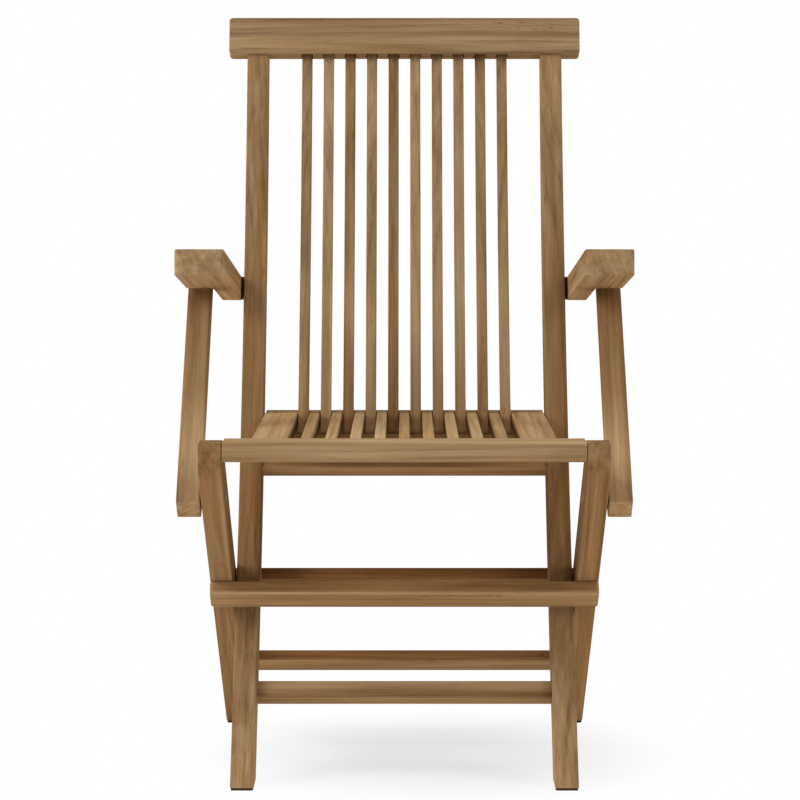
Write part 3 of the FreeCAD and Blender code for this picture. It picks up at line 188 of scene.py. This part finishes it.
def teak_grain():
    """Node group: colour, roughness and height of teak in a board's own coordinates."""
    group = bpy.data.node_groups.new("Teak grain", "ShaderNodeTree")
    for name, kind in (("Along grain", "NodeSocketVector"), ("Facing", "NodeSocketVector"),
                       ("Light wood", "NodeSocketColor"), ("Dark wood", "NodeSocketColor")):
        group.interface.new_socket(name, in_out="INPUT", socket_type=kind)
    for name, kind in (("Color", "NodeSocketColor"), ("Roughness", "NodeSocketFloat"),
                       ("Height", "NodeSocketFloat")):
        group.interface.new_socket(name, in_out="OUTPUT", socket_type=kind)
    nodes, links = group.nodes, group.links
    given = nodes.new("NodeGroupInput")
    result = nodes.new("NodeGroupOutput")

    def arithmetic(operation, *items):
        step = add_node(nodes, "ShaderNodeMath", operation=operation)
        for socket, item in zip(step.inputs, items):
            if isinstance(item, (int, float)):
                socket.default_value = item
            else:
                links.new(item, socket)
        return step.outputs[0]

    def part_of(item, share):
        return arithmetic("MULTIPLY", item, share)

    def ramp(source, *stops):
        greys = [(position, (level, level, level, 1)) for position, level in stops]
        return colour_ramp(nodes, links, source, greys)

    def tinted(kind, amount, under, over):
        blend = add_node(nodes, "ShaderNodeMix", data_type="RGBA", blend_type=kind)
        for socket, item in ((AMOUNT, amount), (UNDER, under), (OVER, over)):
            if isinstance(item, tuple):
                blend.inputs[socket].default_value = item
            else:
                links.new(item, blend.inputs[socket])
        return blend.outputs[MIXED]

    def noise(along, across, detail, rough=0.55):
        """Noise with so many waves per metre along the grain and across it."""
        packed = add_node(nodes, "ShaderNodeVectorMath", {1: (along, across, across)},
                          operation="MULTIPLY")
        waves = add_node(nodes, "ShaderNodeTexNoise",
                         {"Scale": 1.0, "Detail": detail, "Roughness": rough})
        links.new(given.outputs["Along grain"], packed.inputs[0])
        links.new(packed.outputs[0], waves.inputs["Vector"])
        return waves.outputs["Fac"]

    def layer(starts, full, **waves):
        """A layer of the figure, which shows where its noise is past starts."""
        return ramp(noise(**waves), (starts, 0.0), (full, 1.0))

    # End grain shows where the surface faces along the board
    turned = nodes.new("ShaderNodeSeparateXYZ")
    links.new(given.outputs["Facing"], turned.inputs[0])
    end = ramp(arithmetic("ABSOLUTE", turned.outputs["X"]), (0.86, 0.0), (0.97, 1.0))
    side = arithmetic("SUBTRACT", 1.0, end)

    # Growth rings lie round a pith beside the board, and slow noise pushes them about
    parts = nodes.new("ShaderNodeSeparateXYZ")
    section = nodes.new("ShaderNodeCombineXYZ")
    from_pith = add_node(nodes, "ShaderNodeVectorMath", operation="LENGTH")
    links.new(given.outputs["Along grain"], parts.inputs[0])
    links.new(parts.outputs["Y"], section.inputs["Y"])
    links.new(parts.outputs["Z"], section.inputs["Z"])
    links.new(section.outputs[0], from_pith.inputs[0])
    radius = arithmetic("ADD", from_pith.outputs["Value"],
                        part_of(noise(along=1.4, across=8, detail=3), RING_SWAY))
    radius = arithmetic("ADD", radius,
                        part_of(noise(along=8, across=60, detail=3), RING_RIPPLE))
    ring = arithmetic("FRACT", part_of(radius, RINGS_PER_METRE))
    late_wood = ramp(ring, (0.0, 0.15), (0.50, 0.25), (0.85, 1.0), (1.0, 0.2))

    # Streaks, lines and flecks run along the grain, from hand-wide bands down to single pores
    broad_bands = layer(along=1.1, across=34, detail=3, starts=0.36, full=0.64)
    narrow_bands = layer(along=2.4, across=95, detail=4, starts=0.36, full=0.66)
    fibres = layer(along=9, across=330, detail=7, rough=0.62, starts=0.30, full=0.70)
    red_streaks = layer(along=2, across=26, detail=3, starts=0.42, full=0.62)
    pores = layer(along=55, across=1500, detail=2, starts=0.60, full=0.70)
    lines = layer(along=5, across=150, detail=5, rough=0.7, starts=0.60, full=0.72)
    spots = layer(along=60, across=330, detail=3, rough=0.6, starts=0.56, full=0.66)
    clusters = layer(along=3, across=70, detail=2, starts=0.60, full=0.70)
    flecks = arithmetic("MULTIPLY", spots, arithmetic("MULTIPLY", clusters, side))
    mottle = layer(along=75, across=75, detail=5, rough=0.6, starts=0.35, full=0.65)

    # The figure mixes light and dark wood, and on end grain it gives way to mottling
    figure = part_of(late_wood, 0.18)
    for streaks, share in ((broad_bands, 0.34), (narrow_bands, 0.30), (fibres, 0.18)):
        figure = arithmetic("ADD", figure, part_of(streaks, share))
    figure = arithmetic("MULTIPLY", figure, arithmetic("SUBTRACT", 1.0, part_of(end, 0.30)))
    figure = arithmetic("ADD", figure, arithmetic("MULTIPLY", mottle, part_of(end, 0.28)))
    figure = ramp(figure, (0.16, 0.0), (0.86, 1.0))
    colour = tinted("MIX", figure, given.outputs["Light wood"], given.outputs["Dark wood"])
    colour = tinted("MULTIPLY", red_streaks, colour, RED_HEARTWOOD)
    colour = tinted("MULTIPLY", part_of(lines, 0.6), colour, MINERAL_LINE)
    colour = tinted("MULTIPLY", part_of(flecks, 0.8), colour, DARK_FLECK)
    colour = tinted("MULTIPLY", part_of(pores, 0.45), colour, OPEN_PORE)
    links.new(colour, result.inputs["Color"])

    # Fibres make the wood a little rougher and stand up, while pores and late wood lie lower
    roughness = arithmetic("ADD", part_of(fibres, ROUGHER_FIBRES), SMOOTH_WOOD)
    links.new(roughness, result.inputs["Roughness"])
    height = arithmetic("SUBTRACT", part_of(fibres, 0.55), part_of(pores, 0.5))
    height = arithmetic("SUBTRACT", height, part_of(late_wood, 0.2))
    links.new(height, result.inputs["Height"])
    return group


def uneven_height():
    """Node group: height above the ground, which wanders a little from place to place."""
    group = bpy.data.node_groups.new("Uneven height", "ShaderNodeTree")
    group.interface.new_socket("Place", in_out="INPUT", socket_type="NodeSocketVector")
    group.interface.new_socket("Height", in_out="OUTPUT", socket_type="NodeSocketFloat")
    nodes, links = group.nodes, group.links
    given = nodes.new("NodeGroupInput")
    result = nodes.new("NodeGroupOutput")
    rise = nodes.new("ShaderNodeSeparateXYZ")
    drift = add_node(nodes, "ShaderNodeTexNoise", {"Scale": DRIFTS_PER_METRE})
    wander = add_node(nodes, "ShaderNodeMapRange",
                      {"To Min": -BAND_WANDER, "To Max": BAND_WANDER})
    uneven = add_node(nodes, "ShaderNodeMath", operation="ADD")
    links.new(given.outputs["Place"], rise.inputs[0])
    links.new(given.outputs["Place"], drift.inputs["Vector"])
    links.new(drift.outputs["Fac"], wander.inputs["Value"])
    links.new(rise.outputs["Z"], uneven.inputs[0])
    links.new(wander.outputs[0], uneven.inputs[1])
    links.new(uneven.outputs[0], result.inputs["Height"])
    return group


def light_shade_and_bands_by_height(nodes, links, place, colour, light_shade_and_bands, bottom, top):
    """Colour times the bands of growth and of painted light and shade, between the bottom and
    the top of a piece.
    """
    height = add_node(nodes, "ShaderNodeGroup", node_tree=UNEVEN_HEIGHT)
    links.new(place.outputs["Object"], height.inputs["Place"])
    stops = [(bottom + level * (top - bottom), (share, share / warmth ** 0.5, share / warmth, 1))
             for level, share, warmth in light_shade_and_bands]
    shares = colour_ramp(nodes, links, height.outputs["Height"], stops)
    banded = add_node(nodes, "ShaderNodeMix", {AMOUNT: 1.0}, data_type="RGBA",
                    blend_type="MULTIPLY")
    links.new(colour, banded.inputs[UNDER])
    links.new(shares, banded.inputs[OVER])
    return banded.outputs[MIXED]


def give_material(node, material):
    """Puts one material on a piece of the chair."""
    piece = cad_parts[node]
    if not piece.material_slots:
        piece.data.materials.append(material)
    for slot in piece.material_slots:
        slot.material = material


def teak_board(node, turn, seed, tone=1.0, warmth=1.0, light_shade_and_bands=()):
    """Gives a board its own teak: its grain direction, its place in the log and its tone.

    Tone scales the colours of the wood, and warmth takes green and blue out of them. The last
    argument is a row of (height from 0 at the piece's lowest point to 1 at its highest, share of
    the tone, warmth): bands of growth, and painted light and shade, which darken the board where
    other parts shade it and lighten faces and edges that catch the light."""
    material = bpy.data.materials.new("teak " + node)
    material.use_nodes = True
    nodes, links = material.node_tree.nodes, material.node_tree.links
    surface = nodes["Principled BSDF"]
    surface.inputs["Specular IOR Level"].default_value = 0.0
    low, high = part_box(node)
    middle = (low + high) / 2
    middle.rotate(Euler(turn))
    # Sines spread the boards round the pith, so that no two show the same rings
    in_log = Vector((seed * APART_ALONG_LOG,
                     BESIDE_PITH + BESIDE_VARIES * math.sin(seed * 2.3),
                     ABOVE_PITH * math.cos(seed * 1.9)))
    tint = (tone, tone / warmth ** 0.5, tone / warmth)
    place = nodes.new("ShaderNodeTexCoord")
    lay = add_node(nodes, "ShaderNodeMapping", {"Location": in_log - middle, "Rotation": turn})
    facing = add_node(nodes, "ShaderNodeMapping", {"Rotation": turn}, vector_type="VECTOR")
    grain = add_node(nodes, "ShaderNodeGroup", node_tree=TEAK)
    for name, wood in (("Light wood", LIGHT_TEAK), ("Dark wood", DARK_TEAK)):
        shade = [part * share for part, share in zip(wood, tint)]
        grain.inputs[name].default_value = shade + [1.0]
    relief = add_node(nodes, "ShaderNodeBump",
                      {"Strength": RELIEF_STRENGTH, "Distance": GRAIN_RELIEF})
    links.new(place.outputs["Object"], lay.inputs["Vector"])
    links.new(lay.outputs[0], grain.inputs["Along grain"])
    links.new(place.outputs["Normal"], facing.inputs["Vector"])
    links.new(facing.outputs[0], grain.inputs["Facing"])
    colour = grain.outputs["Color"]
    if light_shade_and_bands:
        colour = light_shade_and_bands_by_height(nodes, links, place, colour, light_shade_and_bands, low.z, high.z)
    links.new(colour, surface.inputs["Base Color"])
    links.new(grain.outputs["Roughness"], surface.inputs["Roughness"])
    links.new(grain.outputs["Height"], relief.inputs["Height"])
    links.new(relief.outputs[0], surface.inputs["Normal"])
    give_material(node, material)


def leaning(degrees):
    """Turn that lays a direction of the side view, given from the level, along the grain."""
    return (-math.radians(degrees), 0.0, -math.pi / 2)


TEAK, UNEVEN_HEIGHT = teak_grain(), uneven_height()
STILE_GRAIN = leaning(63)
# Painted shade: the stiles are darkest halfway up, under the seat and the armrests, and keep
# more of their tone at the feet and the head.
STILE_PAINTED_SHADE = ((0.0, 0.80, 0.82), (0.07, 0.80, 0.84), (0.18, 0.62, 1.03), (0.35, 0.51, 1.25),
              (0.59, 0.51, 1.05), (1.0, 0.65, 0.96))
teak_board("stile_left", STILE_GRAIN, seed=1, tone=1.56, light_shade_and_bands=STILE_PAINTED_SHADE)
teak_board("stile_right", STILE_GRAIN, seed=2, tone=1.56, light_shade_and_bands=STILE_PAINTED_SHADE)

# Crest rail: a thick teak board across the head of the back, rounded over along its edges and
# mortised for the stiles and slats. A dark growth band runs along its middle.
ACROSS_CHAIR = (0.0, 0.0, 0.0)
CREST_WEAR = ((0.20, 0.78, 1.0), (0.34, 0.93, 0.96), (0.46, 1.0, 0.96), (0.52, 0.84, 1.02),
              (0.60, 0.58, 1.10), (0.66, 0.79, 1.0), (0.80, 1.0, 0.95), (0.91, 0.84, 1.0))
teak_board("crest_rail", ACROSS_CHAIR, seed=3, tone=1.20, warmth=0.87, light_shade_and_bands=CREST_WEAR)

# Lower back rail: a slanted teak board tenoned between the stiles under the seat, which holds
# the feet of the back slats. Its upper face is painted dark, a painted shade under the seat, and
# its front edge carries a painted highlight.
LOWER_RAIL_SHADE_AND_HIGHLIGHT = ((0.06, 0.95, 1.08), (0.17, 1.0, 1.1), (0.24, 1.08, 1.08), (0.28, 0.87, 1.3))
teak_board("lower_back_rail", ACROSS_CHAIR, seed=4, tone=1.06, light_shade_and_bands=LOWER_RAIL_SHADE_AND_HIGHLIGHT)

# Front stretcher: a slanted teak bar tenoned between the stiles above the front feet, with a
# line of painted shade along its front edge and painted light on its upper face.
FRONT_STRETCHER_SHADE_AND_LIGHT = ((0.10, 1.0, 0.86), (0.31, 1.04, 0.84), (0.45, 0.80, 1.05),
                        (0.70, 0.90, 1.05), (0.90, 1.06, 0.92))
teak_board("front_stretcher", ACROSS_CHAIR, seed=5, tone=1.13, light_shade_and_bands=FRONT_STRETCHER_SHADE_AND_LIGHT)

# Back slats: ten narrow teak strips sawn to the curve of the stiles, with their ends in pockets
# of the crest rail and mortises of the lower rail. They come from pale, rosy and brown boards.
# They carry painted shade at their heads under the crest rail and at their feet under the seat,
# and are painted lighter below the armrests, to make up for the armrests' shade.
PALE, ROSY, BROWN = (1.31, 0.80), (1.15, 0.89), (1.01, 1.03)
BACK_SLATS = (ROSY, PALE, BROWN, PALE, BROWN, PALE, ROSY, ROSY, BROWN, ROSY)
BACK_SLAT_LIGHT_AND_SHADE = ((0.06, 0.95, 1.35), (0.10, 1.0, 1.0), (0.29, 1.0, 1.0), (0.46, 0.81, 0.98),
                  (0.73, 0.84, 0.95), (0.97, 0.80, 0.98), (0.99, 0.42, 1.2))
for number, (tone, warmth) in enumerate(BACK_SLATS, 1):
    teak_board("back_slat_%d" % number, STILE_GRAIN, seed=6 + number, tone=tone, warmth=warmth,
               light_shade_and_bands=BACK_SLAT_LIGHT_AND_SHADE)

# Legs: two straight teak boards that cross the stiles on the outside and carry the front of the
# seat. Each turns on a bolt through its stile.
LEG_GRAIN = leaning(143.2)
teak_board("leg_left", LEG_GRAIN, seed=20, tone=0.835, warmth=1.15)
teak_board("leg_right", LEG_GRAIN, seed=21, tone=0.835, warmth=1.13)

# Front crossbar: a teak bar under the legs, in front of the stiles, which screws through the
# legs hold. Its upper face is painted dark, a painted shade under the seat, its front edge
# carries a painted highlight, and its lower edge is darker.
FRONT_BAR_SHADE_AND_HIGHLIGHT = ((0.08, 0.78, 0.95), (0.22, 0.98, 0.92), (0.51, 1.0, 0.86),
                  (0.64, 1.16, 0.84), (0.73, 0.95, 1.2))
teak_board("front_crossbar", ACROSS_CHAIR, seed=22, tone=1.12, light_shade_and_bands=FRONT_BAR_SHADE_AND_HIGHLIGHT)

# Rear crossbar: the same teak bar, screwed on top of the legs behind the stiles, which rest
# against it when the chair is open. Its upper part is deep brown, in the seat's shade.
REAR_BAR_SHADE = ((0.42, 1.0, 1.12), (0.61, 0.86, 1.5))
teak_board("rear_crossbar", ACROSS_CHAIR, seed=23, tone=0.88, light_shade_and_bands=REAR_BAR_SHADE)

# Rear stretcher: a teak bar tenoned between the legs above the rear feet, with painted shade
# on its upper face, a painted highlight along its front edge and a darker lower edge.
REAR_STRETCHER_SHADE_AND_HIGHLIGHT = ((0.14, 0.80, 1.0), (0.30, 1.0, 0.98), (0.53, 1.10, 0.95),
                       (0.69, 0.74, 1.4))
teak_board("rear_stretcher", ACROSS_CHAIR, seed=24, tone=1.06, light_shade_and_bands=REAR_STRETCHER_SHADE_AND_HIGHLIGHT)

# Seat front rail: a deep teak board across the front of the seat, mortised for the slats and
# side boards. Its upper face is painted pale, a painted light from above, with a darker band
# just below it, and its lower edge is painted dark, a painted shade.
SEAT_RAIL_LIGHT_AND_SHADE = ((0.04, 0.74, 1.1), (0.17, 0.95, 1.0), (0.48, 1.04, 0.97), (0.74, 0.98, 1.0),
                  (0.85, 0.80, 1.1), (0.94, 1.14, 0.97))
teak_board("seat_front_rail", ACROSS_CHAIR, seed=25, tone=1.26, warmth=0.83, light_shade_and_bands=SEAT_RAIL_LIGHT_AND_SHADE)

# Seat rear rail: a thinner teak board behind the back slats, mortised for the rear ends of the
# same slats and side boards.
teak_board("seat_rear_rail", ACROSS_CHAIR, seed=26, tone=0.95)

# Seat side boards: two teak boards from front to back along the sides of the seat, tenoned into
# both rails. Their sides are painted dark below their tops, a painted shade between the boards.
ALONG_CHAIR = leaning(0)
SIDE_BOARD_SHADE = ((0.55, 0.25, 1.4), (0.93, 1.0, 1.0))
teak_board("seat_side_board_left", ALONG_CHAIR, seed=27, tone=1.38, warmth=0.94,
           light_shade_and_bands=SIDE_BOARD_SHADE)
teak_board("seat_side_board_right", ALONG_CHAIR, seed=28, tone=1.36, warmth=0.86,
           light_shade_and_bands=SIDE_BOARD_SHADE)

# Seat slats: nine teak strips between the side boards, tenoned in the same way, which pass
# between the back slats as the chair folds. Each has a tone and a warmth of its own.
SEAT_SLATS = ((1.4, 0.9), (1.8, 0.75), (1.5, 0.8), (1.7, 0.75), (1.25, 0.95), (1.5, 0.95),
              (1.45, 0.75), (1.3, 0.8), (1.1, 1.0))
# Like the side boards, the slats' sides are painted dark below their tops, a painted shade in
# the gaps.
SEAT_SLAT_SHADE = ((0.50, 0.25, 1.4), (0.92, 1.0, 1.0))
for number, (tone, warmth) in enumerate(SEAT_SLATS, 1):
    teak_board("seat_slat_%d" % number, ALONG_CHAIR, seed=30 + number, tone=tone, warmth=warmth,
               light_shade_and_bands=SEAT_SLAT_SHADE)

# Armrests: thick teak boards with a wide hand in front and a narrow neck beside the post. Each
# turns on a bolt through its stile, and its lower part is painted lighter and warmer, a painted
# light from the white floor below.
ARM_GRAIN = leaning(-7.2)
ARM_UNDERSIDE_LIGHT = ((0.34, 1.10, 1.22), (0.61, 1.0, 1.0))
teak_board("armrest_left", ARM_GRAIN, seed=41, tone=1.14, warmth=0.83, light_shade_and_bands=ARM_UNDERSIDE_LIGHT)
teak_board("armrest_right", ARM_GRAIN, seed=42, tone=1.07, warmth=0.86, light_shade_and_bands=ARM_UNDERSIDE_LIGHT)

# Arm posts: teak boards with rounded ends that are bolted to the legs' outer sides and carry
# the armrests. They darken upwards, into the armrests' shade.
POST_GRAIN = leaning(47)
POST_SHADE = ((0.06, 0.82, 0.94), (0.27, 1.0, 0.87), (0.48, 0.72, 1.12), (0.65, 0.64, 1.15),
             (0.78, 0.59, 1.15), (0.85, 0.50, 1.3), (0.905, 0.43, 1.4), (0.935, 0.32, 1.4),
             (0.98, 0.60, 1.1))
teak_board("arm_post_left", POST_GRAIN, seed=43, tone=1.27, light_shade_and_bands=POST_SHADE)
teak_board("arm_post_right", POST_GRAIN, seed=44, tone=1.31, warmth=0.98, light_shade_and_bands=POST_SHADE)

# Pegs and plugs: hardwood dowels driven in and cut flush, the pegs through the tenons and the
# plugs over the crossbars' screws. Their end grain is darker than the boards.
teak_board("frame_pegs", leaning(-28), seed=45, tone=0.72)
teak_board("stretcher_pegs", leaning(53), seed=46, tone=0.72)
teak_board("crossbar_plugs", leaning(53), seed=47, tone=0.75)

# Spacers, washers and glides: dull dark nylon with a faint haze. The spacers are turned, the
# washers are cut from sheet, and the glides are glued under the feet. Their near-black colour is
# partly painted shade: it also stands for the dark gaps beside the armrests and legs and the
# dark line under the feet.
DARK_NYLON_AND_SHADE, HAZY_NYLON = (0.040, 0.015, 0.008, 1), (0.070, 0.029, 0.015, 1)


def nylon_and_shade():
    material = bpy.data.materials.new("dark nylon and painted shade")
    material.use_nodes = True
    nodes, links = material.node_tree.nodes, material.node_tree.links
    surface = nodes["Principled BSDF"]
    surface.inputs["Roughness"].default_value = 0.6
    surface.inputs["Specular IOR Level"].default_value = 0.05
    place = nodes.new("ShaderNodeTexCoord")
    haze = add_node(nodes, "ShaderNodeTexNoise", {"Scale": 90.0, "Detail": 4.0})
    tint = add_node(nodes, "ShaderNodeMix", {UNDER: DARK_NYLON_AND_SHADE, OVER: HAZY_NYLON},
                    data_type="RGBA")
    scuffs = add_node(nodes, "ShaderNodeBump", {"Strength": 0.2, "Distance": 0.0003})
    links.new(place.outputs["Object"], haze.inputs["Vector"])
    links.new(haze.outputs["Fac"], tint.inputs[AMOUNT])
    links.new(tint.outputs[MIXED], surface.inputs["Base Color"])
    links.new(haze.outputs["Fac"], scuffs.inputs["Height"])
    links.new(scuffs.outputs[0], surface.inputs["Normal"])
    return material


NYLON_AND_SHADE = nylon_and_shade()
for node in ("arm_spacers", "scissor_washers", "post_washers", "post_top_washer_left",
             "post_top_washer_right", "front_foot_glides", "rear_foot_glides"):
    give_material(node, NYLON_AND_SHADE)

# Bolts, nuts and screws: turned brass that has gone brown outdoors, with brighter patches where
# the metal is bare. The bolts are sunk flush, and nuts on the inner faces hold them.
BROWN_PATINA, BARE_BRASS = (0.115, 0.060, 0.024, 1), (0.330, 0.205, 0.080, 1)


def brown_brass():
    material = bpy.data.materials.new("brown brass")
    material.use_nodes = True
    nodes, links = material.node_tree.nodes, material.node_tree.links
    surface = nodes["Principled BSDF"]
    place = nodes.new("ShaderNodeTexCoord")
    patina = add_node(nodes, "ShaderNodeTexNoise", {"Scale": 220.0, "Detail": 5.0})
    bare = add_node(nodes, "ShaderNodeMapRange", {"From Min": 0.40, "From Max": 0.62})
    tint = add_node(nodes, "ShaderNodeMix", {UNDER: BROWN_PATINA, OVER: BARE_BRASS},
                    data_type="RGBA")
    metal = add_node(nodes, "ShaderNodeMapRange", {"To Min": 0.55})
    dull = add_node(nodes, "ShaderNodeMapRange", {"To Min": 0.62, "To Max": 0.38})
    pits = add_node(nodes, "ShaderNodeBump", {"Strength": 0.25, "Distance": 0.0002})
    links.new(place.outputs["Object"], patina.inputs["Vector"])
    links.new(patina.outputs["Fac"], bare.inputs["Value"])
    links.new(bare.outputs[0], tint.inputs[AMOUNT])
    links.new(bare.outputs[0], metal.inputs["Value"])
    links.new(bare.outputs[0], dull.inputs["Value"])
    links.new(tint.outputs[MIXED], surface.inputs["Base Color"])
    links.new(metal.outputs[0], surface.inputs["Metallic"])
    links.new(dull.outputs[0], surface.inputs["Roughness"])
    links.new(patina.outputs["Fac"], pits.inputs["Height"])
    links.new(pits.outputs[0], surface.inputs["Normal"])
    return material


BRASS = brown_brass()
for node in ("scissor_bolts", "scissor_nuts", "arm_bolts", "arm_nuts", "post_bolts", "post_nuts",
             "post_top_screw_left", "post_top_screw_right", "seat_pivot_bolts",
             "seat_pivot_nuts", "crossbar_screws"):
    give_material(node, BRASS)
